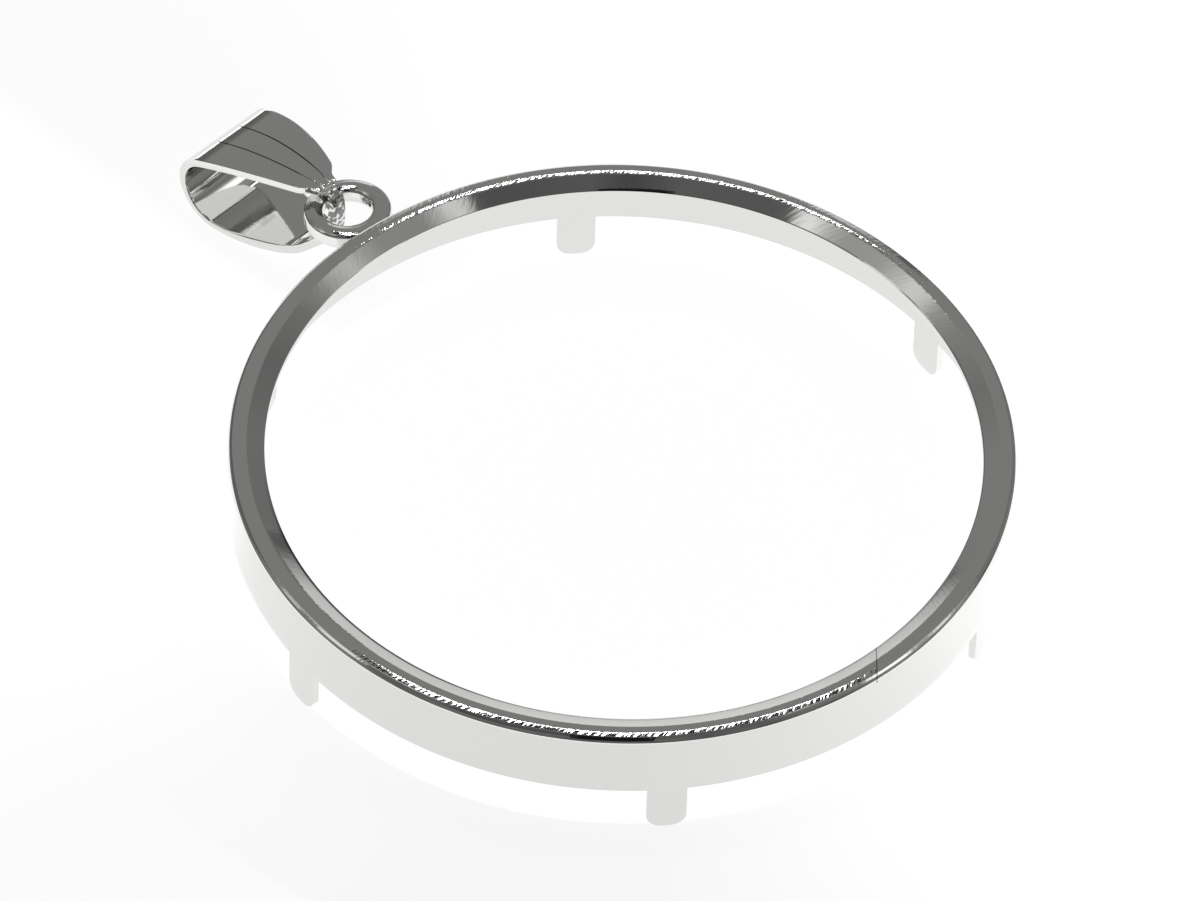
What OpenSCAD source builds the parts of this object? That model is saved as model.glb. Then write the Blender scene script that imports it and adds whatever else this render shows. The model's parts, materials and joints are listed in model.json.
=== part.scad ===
// Coin pendant frame: a silver bezel that clips round a 40.6 mm coin, with a swinging bail.
// The coin goes in from below, rests against the lip, and the six tabs are then folded over its back.
// Millimetres. +Z is the front of the pendant, +Y points to the bail.
// The origin is on the frame's axis, in the plane of the coin seat's mouth.

/* [Coin] */
// Diameter of the coin that the frame holds
coin_d = 40.6; // [38:0.1:42]
// Thickness of that coin
coin_t = 2.98; // [2.5:0.01:3.2]
// Space round the coin, each side
coin_clearance = 0.1; // [0.05:0.01:0.2]
// Spare depth behind the coin
coin_spare_depth = 0.12; // [0.05:0.01:0.3]

/* [Rim] */
// Thickness of the wall round the coin
wall_t = 0.4; // [0.35:0.01:0.5]
// How far the lip covers the coin's edge
lip_cover = 1.4; // [1:0.05:1.6]
// Thickness of the lip at its inner edge
lip_t = 0.38; // [0.3:0.01:0.5]
// Radius of the rounded outer shoulder
shoulder_r = 0.5; // [0.4:0.01:0.6]
// Radius of the rounding on the inner side of the crown
crown_r = 0.85; // [0.6:0.01:1.2]
// Slope of the bevel where it leaves the crown, in degrees
bevel_top_slope = 17; // [12:1:20]
// Slope of the bevel at the lip, in degrees
bevel_lip_slope = 24; // [22:1:28]

/* [Tabs] */
// Number of tabs
tab_count = 6; // [4:1:8]
// Width of a tab
tab_w = 2.1; // [1.6:0.1:3]
// Length of a tab below the wall
tab_len = 2.8; // [2:0.1:3.5]
// Radius of a tab's lower corners
tab_corner_r = 0.8; // [0.4:0.05:0.8]
// Turn of the tabs from their even places about the bail, in degrees
tab_turn = -3; // [-5:0.5:5]

/* [Bail ring] */
// Radius of the ring along the middle of its wire
ring_r = 1.86; // [1.75:0.01:2]
// Width of the ring's wire, seen from above
ring_wire_w = 1.04; // [0.9:0.01:1.1]
// Height of the ring's wire
ring_wire_h = 1.24; // [1.1:0.01:1.3]
// Depth that the ring is let into the wall where it is soldered
ring_solder_depth = 0.16; // [0.1:0.01:0.3]
// Height of the ring's middle above the seat's mouth
ring_z = 2.59; // [2.4:0.01:2.7]
// Droop of the ring's outer side, in degrees
ring_droop = 5; // [0:1:7]

/* [Bail] */
// Thickness of the bail's sheet
bail_t = 0.46; // [0.4:0.01:0.5]
// Gap between the ring's wire and the bail's tip
bail_gap = 0.2; // [0.18:0.01:0.25]
// Width of the bail at its fold
bail_w = 5.4; // [4.5:0.1:6]
// Width of the bail at its tip, inside the ring
bail_tip_w = 0.4; // [0.3:0.05:0.5]
// Width of the bail at its neck, just outside the ring's wire
bail_neck_w = 1.45; // [1.2:0.05:1.5]
// Distance of the neck from the middle of the ring's wire
bail_neck_u = 0.1; // [0:0.05:0.2]
// Angle at which each side opens from the neck, in degrees
bail_neck_angle = 45; // [40:1:50]
// Distance along the bail from the ring's wire to its widest place
bail_taper_len = 8.1; // [7.5:0.1:8.5]
// Radius of the curved sides of the leaf shape, seen from above
bail_side_r = 20; // [18:0.5:22]
// Radius of the front panel's slight crown along its length
front_r = 15.1; // [14:0.1:18]
// Slope at the end of the front panel, where the fold starts, in degrees
front_end_slope = 29; // [26:1:31]
// Radius of the back panel along its length
back_r = 14.4; // [13:0.1:15]
// Slope at the end of the back panel, where it curves up to the ring, in degrees
back_end_slope = 17; // [15:1:20]
// Turn of the bail to one side, as it lies, in degrees
bail_turn = 5.2; // [0:0.1:8]
// Lean of the bail to its lower side, as it lies, in degrees
bail_lean = 2; // [0:0.5:3]
// Gap between the lying bail and the surface that the tabs stand on
bail_rest_gap = 0.03; // [0.02:0.01:0.1]
// Depth of the two engraved lines
line_depth = 0.08; // [0.05:0.01:0.12]
// Width of the engraved lines
line_w = 0.14; // [0.1:0.01:0.2]
// Place of each engraved line, as a share of the half width
line_share = 0.3; // [0.2:0.05:0.5]

/* [Hidden] */

// Sides of the round forms
round_fn = 180;
ring_fn = 96;
// Points along one arc of a drawn outline
arc_steps = 8;
// Small overlap that joins solids or carries a cut past a face
join = 0.05;
// Half the height of a cut that runs right through the bail
through = 20;

// Frame
seat_r = coin_d / 2 + coin_clearance;
seat_depth = coin_t + coin_spare_depth;
outer_r = seat_r + wall_t;
lip_r = seat_r - lip_cover - coin_clearance;
crown_x = outer_r - shoulder_r;
bevel_start_x = crown_x - crown_r * sin(bevel_top_slope);
bevel_r = (bevel_start_x - lip_r) / (sin(bevel_lip_slope) - sin(bevel_top_slope));
crown_drop = crown_r * (1 - cos(bevel_top_slope));
bevel_drop = bevel_r * (cos(bevel_top_slope) - cos(bevel_lip_slope));
crown_z = seat_depth + lip_t + bevel_drop + crown_drop;

// Bail ring
ring_y = outer_r + ring_r + ring_wire_w / 2 - ring_solder_depth;

// Middle of the ring's wire where the bail hangs on it
hinge = [0, ring_y, ring_z]
    + ring_r * [-sin(bail_turn), cos(bail_turn) * cos(ring_droop), -cos(bail_turn) * sin(ring_droop)];

// Bail, seen from its side: u runs outwards from the ring's wire and v upwards
tip_r = ring_wire_h / 2 + bail_gap + bail_t;
front_end_a = 90 - front_end_slope;
back_end_a = 270 - back_end_slope;
// The fold is as large as it takes for the lying bail to reach the surface under the tabs
bail_reach = (hinge[2] + tab_len - bail_rest_gap - bail_w / 2 * sin(bail_lean)) / cos(bail_lean);
fold_r = (tip_r - front_r * (1 - sin(front_end_a)) + bail_reach) / (1 + sin(front_end_a));
front_c = [0, tip_r - front_r];
fold_c = front_c + (front_r - fold_r) * [cos(front_end_a), sin(front_end_a)];
back_c = fold_c + [0, back_r - fold_r];
belly_r = (tip_r + back_c[0] + back_r * cos(back_end_a)) / (1 + cos(back_end_a));
belly_c = back_c + (back_r - belly_r) * [cos(back_end_a), sin(back_end_a)];

// Points along an arc, with both ends
function arc(c, r, a0, a1, n = arc_steps) =
    [for (i = [0:n]) c + r * [cos(a0 + (a1 - a0) * i / n), sin(a0 + (a1 - a0) * i / n)]];

// The bail's closed loop, drawn a given depth inside its outer face
function loop_outline(depth) = concat(
    arc([0, 0], tip_r - depth, 180, 90),
    arc(front_c, front_r - depth, 90, front_end_a),
    arc(fold_c, fold_r - depth, front_end_a, -90, 2 * arc_steps),
    arc(back_c, back_r - depth, 270, back_end_a),
    arc(belly_c, belly_r - depth, back_end_a, 180));

// Section of the rim and wall, from the seat's mouth round over the crown
function rim_section() = concat(
    [[seat_r, 0], [outer_r, 0]],
    arc([crown_x, crown_z - shoulder_r], shoulder_r, 0, 90),
    arc([crown_x, crown_z - crown_r], crown_r, 90, 90 + bevel_top_slope, 4),
    arc([bevel_start_x, crown_z - crown_drop] + bevel_r * [sin(bevel_top_slope), -cos(bevel_top_slope)],
        bevel_r, 90 + bevel_top_slope, 90 + bevel_lip_slope, 4),
    [[lip_r, seat_depth], [seat_r, seat_depth]]);

// Outline of one tab, with rounded lower corners
module tab_outline() {
    half = tab_w / 2 - tab_corner_r;
    for (side = [-1, 1])
        translate([side * half, tab_corner_r - tab_len])
            circle(tab_corner_r, $fn = 48);
    translate([-half, -tab_len])
        square([2 * half, tab_corner_r + join]);
    translate([-tab_w / 2, tab_corner_r - tab_len])
        square([tab_w, tab_len - tab_corner_r + join]);
}

// The wall's own tube carried down, kept only where a tab is
module tabs() {
    for (i = [0:tab_count - 1])
        intersection() {
            difference() {
                translate([0, 0, -tab_len - join])
                    cylinder(r = outer_r, h = tab_len + 2 * join, $fn = round_fn);
                translate([0, 0, -tab_len - 2 * join])
                    cylinder(r = seat_r, h = tab_len + 4 * join, $fn = round_fn);
            }
            rotate([0, 0, (i + 0.5) * 360 / tab_count + tab_turn])
                translate([0, outer_r + join, 0])
                    rotate([90, 0, 0])
                        linear_extrude(2 * wall_t)
                            tab_outline();
        }
}

// Ring of slightly flattened wire, soldered flat against the wall
module bail_ring() {
    rise = (ring_wire_h - ring_wire_w) / 2;
    translate([0, ring_y, ring_z])
        rotate([-ring_droop, 0, 0])
            rotate_extrude($fn = ring_fn)
                translate([ring_r, 0]) {
                    for (side = [-1, 1])
                        translate([0, side * rise])
                            circle(ring_wire_w / 2, $fn = 48);
                    translate([-ring_wire_w / 2, -rise])
                        square([ring_wire_w, 2 * rise]);
                }
}

module coin_frame() {
    color("silver") {
        rotate_extrude($fn = round_fn)
            polygon(rim_section());
        tabs();
        bail_ring();
    }
}

// Solid prism of the loop at a given depth, standing across the bail
module loop_prism(depth) {
    rotate([90, 0, 0])
        linear_extrude(bail_w + 2 * join, center = true)
            polygon(loop_outline(depth));
}

// Leaf shape seen from above, between two large arcs
module leaf(share = 1) {
    half_w = share * bail_w / 2;
    side_r = bail_side_r / share;
    intersection_for (side = [-1, 1])
        translate([bail_taper_len, side * (side_r - half_w), -through])
            cylinder(r = side_r, h = 2 * through, $fn = 360);
}

// Straight sides that close in on the neck, and from there on the tip
module neck() {
    reach = 2 * bail_taper_len;
    side = [[-tip_r - join, bail_tip_w / 2],
            [-tip_r, bail_tip_w / 2],
            [bail_neck_u, bail_neck_w / 2],
            [bail_neck_u + reach, bail_neck_w / 2 + reach * tan(bail_neck_angle)]];
    translate([0, 0, -through])
        linear_extrude(2 * through)
            polygon(concat(side, [for (i = [len(side) - 1:-1:0]) [side[i][0], -side[i][1]]]));
}

// Two engraved lines that follow the leaf shape over the front panel
module engraved_lines() {
    intersection() {
        difference() {
            leaf(line_share + line_w / bail_w);
            leaf(line_share - line_w / bail_w);
        }
        difference() {
            loop_prism(-join);
            loop_prism(line_depth);
        }
        translate([0, -bail_w, fold_c[1]])
            cube([bail_taper_len + fold_r, 2 * bail_w, through]);
    }
}

// The bail in its own place: its tip round the origin, its fold along +X
module bail_shape() {
    difference() {
        intersection() {
            loop_prism(0);
            leaf();
            neck();
        }
        loop_prism(bail_t);
        engraved_lines();
    }
}

module bail() {
    color("gainsboro")
        translate(hinge)
            rotate([0, 0, 90 + bail_turn])
                rotate([-bail_lean, 0, 0])
                    bail_shape();
}

coin_frame();
bail();
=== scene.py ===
# %% [markdown]
# # A coin pendant frame in polished silver
#
# A coin pendant frame is a jeweller's finding: a thin silver bezel that clips round a coin, so that the
# coin can hang from a chain. It has a rim with a wall under it, six straight tabs that are later folded
# over the coin's back, a small ring soldered to the wall, and a loose bail that the chain runs through.
#
# The sizes come from a measured model, which the first cell loads. The cells after it build what the eye
# sees around that model: finer meshes, the polish, a pale floor, the light and the camera.

# %% Load the measured model
import json
import math

import bmesh
import bpy
from mathutils import Matrix, Vector


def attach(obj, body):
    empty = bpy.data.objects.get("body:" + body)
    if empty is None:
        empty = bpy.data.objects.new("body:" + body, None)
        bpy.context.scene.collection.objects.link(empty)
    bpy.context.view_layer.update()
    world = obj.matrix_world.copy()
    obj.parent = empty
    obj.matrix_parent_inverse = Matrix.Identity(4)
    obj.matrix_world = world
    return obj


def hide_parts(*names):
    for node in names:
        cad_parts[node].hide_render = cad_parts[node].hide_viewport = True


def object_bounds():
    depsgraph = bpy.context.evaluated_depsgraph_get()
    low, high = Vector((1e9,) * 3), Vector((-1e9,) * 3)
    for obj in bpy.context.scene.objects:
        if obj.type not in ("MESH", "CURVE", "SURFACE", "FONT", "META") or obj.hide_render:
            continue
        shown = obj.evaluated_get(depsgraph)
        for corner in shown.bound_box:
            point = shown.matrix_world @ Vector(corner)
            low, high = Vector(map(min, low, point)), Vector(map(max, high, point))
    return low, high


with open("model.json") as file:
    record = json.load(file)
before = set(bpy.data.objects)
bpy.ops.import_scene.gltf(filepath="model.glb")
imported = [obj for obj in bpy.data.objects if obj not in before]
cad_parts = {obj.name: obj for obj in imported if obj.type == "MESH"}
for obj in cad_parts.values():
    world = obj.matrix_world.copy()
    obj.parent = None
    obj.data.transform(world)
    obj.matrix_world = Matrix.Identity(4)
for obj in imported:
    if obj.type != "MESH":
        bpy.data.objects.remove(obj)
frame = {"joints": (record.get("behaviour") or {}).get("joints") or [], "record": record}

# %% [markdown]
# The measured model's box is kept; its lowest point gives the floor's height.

measured_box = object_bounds()
print("measured box, mm:", [[round(1000 * v, 2) for v in corner] for corner in measured_box])

# %% [markdown]
# ## Sizes
#
# Blender works in metres and jewellers in millimetres, so each size is written as millimetres times `mm`.
# The seat's radius and the bail's hinge are already in the measured model, so they are read from there.

# %% The frame's sizes
mm = 0.001

mounts = {mount["name"]: mount for mount in frame["record"]["mounts"]}
seat_r = mounts["coin_seat"]["dims"]["r_mm"] * mm
wall_t = 0.4 * mm
outer_r = seat_r + wall_t
seat_depth = 3.1 * mm
lip_t = 0.38 * mm
lip_r = 18.9 * mm
tab_count = 6
tab_w = 2.1 * mm
tab_len = 2.8 * mm
tab_corner_r = 0.8 * mm
tab_turn = math.radians(-3)
print("outer diameter, mm:", round(2000 * outer_r, 2))

# %% The ring's sizes
ring_r = 1.86 * mm
ring_wire_w = 1.04 * mm
ring_wire_h = 1.24 * mm
ring_solder_depth = 0.16 * mm
ring_z = 2.59 * mm
ring_droop = math.radians(5)
ring_y = outer_r + ring_r + ring_wire_w / 2 - ring_solder_depth
print("middle of the ring from the frame's axis, mm:", round(1000 * ring_y, 2))

# %% The bail's sizes, with its hinge read from the measured joint
bail_t = 0.46 * mm
bail_gap = 0.2 * mm
bail_w = 5.4 * mm
bail_taper_len = 8.1 * mm
bail_side_r = 20 * mm
front_r = 15.5 * mm
front_end_slope = math.radians(27.6)
back_r = 14.4 * mm
back_end_slope = math.radians(17)
rest_gap = 0.03 * mm

hinge = Vector(frame["joints"][0]["pos_m"])
hinge_axis = Vector(frame["joints"][0]["axis"]).normalized()
bail_turn = math.atan2(hinge_axis.y, hinge_axis.x)
bail_lean = math.asin(hinge_axis.z)
print("bail turn and lean, degrees:", round(math.degrees(bail_turn), 2), round(math.degrees(bail_lean), 2))

# %% [markdown]
# ## The camera
#
# A product photograph of jewellery is taken with a long lens, so that circles stay true ellipses. The
# camera's height above the table and its turn were found by fitting the rim's ellipses, and a lens that
# long makes the distance about two thirds of a metre.

# %% Camera
camera_azimuth = math.radians(-131.2)
camera_elevation = math.radians(47.144)
camera_roll = math.radians(-2.163)
camera_distance = 669.13 * mm
camera_lens = 381.645
camera_aside = Vector((1.191, 0.182, 0)) * mm
aim_height = 3.718 * mm

camera_data = bpy.data.cameras.new("camera")
camera_data.lens = camera_lens
camera_data.sensor_width = 36
camera_data.clip_start = 0.01
camera_data.clip_end = 20
camera = bpy.data.objects.new("camera", camera_data)
bpy.context.scene.collection.objects.link(camera)
facing = Matrix.Rotation(camera_azimuth + math.pi / 2, 4, "Z")
tilting = Matrix.Rotation(math.pi / 2 - camera_elevation, 4, "X")
rolling = Matrix.Rotation(-camera_roll, 4, "Z")
stepping = Matrix.Translation(Vector((0, 0, camera_distance)) - camera_aside)
camera.matrix_world = Matrix.Translation((0, 0, aim_height)) @ facing @ tilting @ rolling @ stepping
bpy.context.scene.camera = camera
print("camera at, mm:", [round(1000 * v, 1) for v in camera.matrix_world.translation])

# %% [markdown]
# ## Small helpers for materials
#
# A material is a tree of nodes. One function adds a node of any kind with its settings, and links or sets
# its inputs. Colours are chosen as sRGB hex, as on a paint chart, and Blender wants linear light. A colour
# ramp turns a number into a grey, and its stops come from a short list.

# %% Helpers for nodes and colours
def add(tree, kind, inputs=None, **settings):
    node = tree.nodes.new(kind)
    for name, value in settings.items():
        setattr(node, name, value)
    for name, value in (inputs or {}).items():
        if isinstance(value, bpy.types.NodeSocket):
            tree.links.new(value, node.inputs[name])
        else:
            node.inputs[name].default_value = value
    return node


def linear(hex_colour):
    parts = [int(hex_colour[i:i + 2], 16) / 255 for i in (1, 3, 5)]
    return [c / 12.92 if c <= 0.04045 else ((c + 0.055) / 1.055) ** 2.4 for c in parts] + [1]


def grey(value):
    return [value, value, value, 1]


def fill_ramp(ramp_node, stops):
    """Gives a colour ramp its stops, a list of places from 0 to 1 and grey values."""
    ramp = ramp_node.color_ramp
    ramp.elements[0].position, ramp.elements[0].color = stops[0][0], grey(stops[0][1])
    ramp.elements[1].position, ramp.elements[1].color = stops[-1][0], grey(stops[-1][1])
    for place, value in stops[1:-1]:
        ramp.elements.new(place).color = grey(value)

# %% [markdown]
# ## The studio
#
# Polished silver has almost no look of its own: it shows the room. So the room is designed as carefully
# as the piece. It is a grey tent with a dark slit above the lens, pale strips of card on both sides of
# the slit, and one thin bright tube across the top.
#
# A photographer places a card by the piece of silver that should show it, and this room is drawn the same
# way. Silver that sends a direction to the lens faces halfway between that direction and the lens. `tilt`
# is how far such silver leans from level, and `heading` is how far it is turned from the lens, both in
# degrees. The other way would be real lamps and cards round the piece, which is slower to place well.

# %% Which silver shows each direction of the room
world = bpy.data.worlds.new("grey tent")
bpy.context.scene.world = world
world.use_nodes = True
room = world.node_tree
room.nodes.clear()

to_lens = (0, -math.cos(camera_elevation), math.sin(camera_elevation))
direction = add(room, "ShaderNodeTexCoord").outputs["Generated"]
turned = add(room, "ShaderNodeVectorRotate", {"Vector": direction, "Angle": -camera_azimuth - math.pi / 2},
             rotation_type="Z_AXIS").outputs["Vector"]
up = add(room, "ShaderNodeSeparateXYZ", {"Vector": turned}).outputs["Z"]
halfway = add(room, "ShaderNodeVectorMath", {0: turned, 1: to_lens}, operation="ADD").outputs["Vector"]
facing = add(room, "ShaderNodeVectorMath", {0: halfway}, operation="NORMALIZE").outputs["Vector"]
aside, away, level = add(room, "ShaderNodeSeparateXYZ", {"Vector": facing}).outputs
towards = add(room, "ShaderNodeMath", {0: away, 1: -1}, operation="MULTIPLY").outputs[0]
tilt = add(room, "ShaderNodeMath", {0: level}, operation="ARCCOSINE").outputs[0]
tilt = add(room, "ShaderNodeMath", {0: tilt}, operation="DEGREES").outputs[0]
heading = add(room, "ShaderNodeMath", {0: aside, 1: towards}, operation="ARCTAN2").outputs[0]
heading = add(room, "ShaderNodeMath", {0: heading}, operation="DEGREES").outputs[0]
heading = add(room, "ShaderNodeMath", {0: heading}, operation="ABSOLUTE").outputs[0]
turn_share = add(room, "ShaderNodeMath", {0: heading, 1: 180}, operation="DIVIDE").outputs[0]
print("nodes that find the tilt and heading:", len(room.nodes))

# %% [markdown]
# Level silver, such as the crown of the rim, shows the tent's plain grey back. The slit and the strips of
# card give the far bevel its dark and light fields. Below them hangs the tent's grey cloth, down to a foot
# that lies in shade.

# %% Slit and strips
# Degrees of heading and the linear brightness there: the slit, the inner strip, the outer strip, the side
slit_and_strips = [(0, 0.07), (7, 0.115), (22, 0.10), (25.5, 0.12), (27, 0.60), (28.5, 0.90), (31.5, 0.55),
                   (35, 0.32), (43, 0.34), (47, 0.48), (50, 0.66), (54, 0.49), (57, 0.30), (62, 0.22),
                   (74, 0.17), (90, 0.21), (120, 0.20), (150, 0.238)]
# The strips' lower ends have their own brightness, from this tilt on: degrees of heading and the brightness
strip_end_tilt = 27
strip_ends = [(0, 0.06), (22, 0.06), (27, 0.10), (33, 0.10), (39, 0.12), (41, 0.7), (48, 0.7), (50, 0.2),
              (52.5, 0.2), (54, 0.45), (57, 0.45), (59, 0.2), (66, 0.10), (90, 0.10), (120, 0.10),
              (150, 0.12)]

strips = add(room, "ShaderNodeValToRGB", {"Fac": turn_share})
fill_ramp(strips, [(place / 180, value) for place, value in slit_and_strips])
ends = add(room, "ShaderNodeValToRGB", {"Fac": turn_share})
fill_ramp(ends, [(place / 180, value) for place, value in strip_ends])
# The right strip's end is the brighter one, though the strips as a whole are lit more from the left
ends_shade = add(room, "ShaderNodeMapRange", {"Value": aside, "From Min": -0.2, "From Max": 0.2,
                                              "To Min": 1.1, "To Max": 2.2}).outputs["Result"]
ends_lit = add(room, "ShaderNodeMath", {0: ends.outputs["Color"], 1: ends_shade},
               operation="MULTIPLY").outputs[0]
near_end = add(room, "ShaderNodeMapRange", {"Value": tilt, "From Min": strip_end_tilt - 1,
                                            "From Max": strip_end_tilt + 1},
               interpolation_type="SMOOTHSTEP").outputs["Result"]
whole_strips = add(room, "ShaderNodeMix", {0: near_end, 2: strips.outputs["Color"], 3: ends_lit}).outputs[0]
side_shade = add(room, "ShaderNodeMapRange", {"Value": aside, "From Min": -0.3, "From Max": 0.3,
                                              "To Min": 1.14, "To Max": 0.86},
                 interpolation_type="SMOOTHSTEP").outputs["Result"]
sides = add(room, "ShaderNodeMath", {0: whole_strips, 1: side_shade}, operation="MULTIPLY").outputs[0]
print("places along the strips:", len(slit_and_strips))

# %% Tent
level_brightness = 0.238
# The tilts at which the strips start and end
first_strip_tilt = 17.4
last_strip_tilt = 38
# Degrees of heading and the cloth's brightness there
low_tent = [(0, 0.13), (35, 0.14), (44, 0.21), (60, 0.21), (90, 0.22), (180, 0.26)]

low = add(room, "ShaderNodeValToRGB", {"Fac": turn_share})
fill_ramp(low, [(place / 180, value) for place, value in low_tent])

# The cloth hangs in soft folds
folds = add(room, "ShaderNodeTexNoise", {"Vector": turned, "Scale": 5.0, "Detail": 1.0}).outputs["Fac"]
folds = add(room, "ShaderNodeMapRange", {"Value": folds, "From Min": 0.3, "From Max": 0.7,
                                         "To Min": 0.55, "To Max": 1.45}).outputs["Result"]
low_folded = add(room, "ShaderNodeMath", {0: low.outputs["Color"], 1: folds}, operation="MULTIPLY").outputs[0]
down_the_side = add(room, "ShaderNodeMapRange", {"Value": tilt, "From Min": last_strip_tilt - 4,
                                                 "From Max": last_strip_tilt + 2},
                    interpolation_type="SMOOTHSTEP").outputs["Result"]
leaning = add(room, "ShaderNodeMix", {0: down_the_side, 2: sides, 3: low_folded}).outputs[0]
off_level = add(room, "ShaderNodeMapRange", {"Value": tilt, "From Min": first_strip_tilt - 0.8,
                                             "From Max": first_strip_tilt + 0.8},
                interpolation_type="SMOOTHSTEP").outputs["Result"]
tent = add(room, "ShaderNodeMix", {0: off_level, 2: level_brightness, 3: leaning}).outputs[0]

# The tent's foot lies in shade, which gives rounded silver a dark line above the table's reflection
foot = add(room, "ShaderNodeMapRange", {"Value": up, "From Min": 0.0, "From Max": 0.03,
                                        "To Min": 0.22, "To Max": 1.0},
           interpolation_type="SMOOTHSTEP").outputs["Result"]
tent = add(room, "ShaderNodeMath", {0: tent, 1: foot}, operation="MULTIPLY").outputs[0]
print("strips between tilts, degrees:", first_strip_tilt, last_strip_tilt)

# %% [markdown]
# A bright tube in a dark holder gives the crown's buffed edges their broken white lights, each with a dark
# edge. The black lens shows on silver that faces the camera. All three are straight bands, drawn alike.

# %% The lens and the tube
# Tilt in the middle of each band, half its breadth, and the heading it reaches on both sides, in degrees
lens_band = (36, 11.5, 6)
holder_band = (12.6, 1.7, 40)
tube_band = (12, 0.5, 38)
lens_brightness, holder_brightness, tube_brightness = 0.01, 0.03, 9


def in_band(middle, half, reach):
    """1 where silver shows the band, and 0 elsewhere."""
    row = add(room, "ShaderNodeMath", {0: tilt, 1: middle, 2: half}, operation="COMPARE").outputs[0]
    side = add(room, "ShaderNodeMath", {0: heading, 1: reach}, operation="LESS_THAN").outputs[0]
    return add(room, "ShaderNodeMath", {0: row, 1: side}, operation="MULTIPLY").outputs[0]


for band, dark in ((lens_band, lens_brightness), (holder_band, holder_brightness)):
    tent = add(room, "ShaderNodeMix", {0: in_band(*band), 2: tent, 3: dark}).outputs[0]
brightness = add(room, "ShaderNodeMath", {0: in_band(*tube_band), 1: tube_brightness, 2: tent},
                 operation="MULTIPLY_ADD").outputs[0]
background = add(room, "ShaderNodeBackground", {"Color": brightness})
add(room, "ShaderNodeOutputWorld", {"Surface": background.outputs["Background"]})
# The picture shows the brightness as it is set here, without a film's curve
bpy.context.scene.view_settings.view_transform = "Standard"
print("room nodes:", len(room.nodes))

# %% [markdown]
# ## The floor
#
# The piece stands on a lit white table, as on a light box, which leaves almost no shadow. The table glows
# least in front of the piece, more at its sides and most further out, and so the silver wall turns from
# pale grey in front to white at its sides. To the lens every part of the table is white.

# %% Floor
floor_z = measured_box[0].z
floor_half = 2.5

floor_mesh = bpy.data.meshes.new("floor")
shape = bmesh.new()
bmesh.ops.create_grid(shape, x_segments=2, y_segments=2, size=floor_half)
shape.to_mesh(floor_mesh)
shape.free()
floor = bpy.data.objects.new("floor", floor_mesh)
floor.location.z = floor_z
bpy.context.scene.collection.objects.link(floor)
print("floor at, mm:", round(1000 * floor_z, 2))

# %% [markdown]
# The table is lit from below through matt acrylic, so its material is a glow with a little matt grey. The
# glow changes with the bearing round the piece, and less with the distance from it.

# %% Light table
# The glow dips from 126 to 138 degrees, behind the bail: painted shade of the bail on the table
# Degrees round the piece, with 0 to the camera's right and 90 behind, and the table's brightness there
glow_round = [(-180, 1.08), (-168, 0.965), (-155, 0.94), (-141, 0.905), (-127, 0.885), (-113, 0.873),
              (-99, 0.866), (-85, 0.871), (-71, 0.90), (-57, 0.94), (-44, 0.99), (-34, 1.03), (-28, 1.075),
              (-22, 1.12), (-15, 1.15), (0, 1.18), (45, 1.18), (80, 1.0), (126, 0.91), (138, 0.91),
              (145, 1.06), (180, 1.08)]
# Inside the ring the table glows evenly and a little dimmer than behind the piece: painted shade of the
# frame's wall
shaded_glow_inside = 0.94
glow_beyond = 0.91
full_glow = 1.35
# Distances from the piece's middle between which the glow beyond the wall and the one far away set in
beyond_from, beyond_to = 26 * mm, 31 * mm
far_from, far_to = 57 * mm, 72 * mm

light_table = bpy.data.materials.new("white light table")
light_table.use_nodes = True
tree = light_table.node_tree
tree.nodes.clear()
spot = add(tree, "ShaderNodeTexCoord").outputs["Object"]
turned = add(tree, "ShaderNodeVectorRotate", {"Vector": spot, "Angle": -camera_azimuth - math.pi / 2},
             rotation_type="Z_AXIS").outputs["Vector"]
across_floor, along_floor, _ = add(tree, "ShaderNodeSeparateXYZ", {"Vector": turned}).outputs
from_centre = add(tree, "ShaderNodeVectorMath", {0: turned}, operation="LENGTH").outputs["Value"]
bearing = add(tree, "ShaderNodeMath", {0: along_floor, 1: across_floor}, operation="ARCTAN2").outputs[0]
bearing = add(tree, "ShaderNodeMath", {0: bearing, 1: 1 / (2 * math.pi), 2: 0.5},
              operation="MULTIPLY_ADD").outputs[0]
round_about = add(tree, "ShaderNodeValToRGB", {"Fac": bearing})
fill_ramp(round_about, [(place / 360 + 0.5, value / full_glow) for place, value in glow_round])
outside = add(tree, "ShaderNodeMath", {0: from_centre, 1: outer_r - wall_t / 2},
              operation="GREATER_THAN").outputs[0]
near_glow = add(tree, "ShaderNodeMix", {0: outside, 2: shaded_glow_inside / full_glow,
                                        3: round_about.outputs["Color"]}).outputs[0]
beyond_wall = add(tree, "ShaderNodeMapRange", {"Value": from_centre, "From Min": beyond_from,
                                               "From Max": beyond_to, "To Min": 0.0,
                                               "To Max": glow_beyond / full_glow},
                  interpolation_type="SMOOTHSTEP").outputs["Result"]
near_glow = add(tree, "ShaderNodeMath", {0: near_glow, 1: beyond_wall}, operation="MAXIMUM").outputs[0]
far_away = add(tree, "ShaderNodeMapRange", {"Value": from_centre, "From Min": far_from, "From Max": far_to},
               interpolation_type="SMOOTHSTEP").outputs["Result"]
glow = add(tree, "ShaderNodeMix", {0: far_away, 2: near_glow, 3: 1.0}).outputs[0]
glow = add(tree, "ShaderNodeMath", {0: glow, 1: full_glow}, operation="MULTIPLY").outputs[0]
emission = add(tree, "ShaderNodeEmission", {"Color": linear("#FFFFFF"), "Strength": glow})
matt = add(tree, "ShaderNodeBsdfDiffuse", {"Color": linear("#808080")})
both = add(tree, "ShaderNodeAddShader", {0: emission.outputs[0], 1: matt.outputs[0]})
add(tree, "ShaderNodeOutputMaterial", {"Surface": both.outputs[0]})
floor_mesh.materials.append(light_table)
print("bearings with a glow of their own:", len(glow_round))

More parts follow.
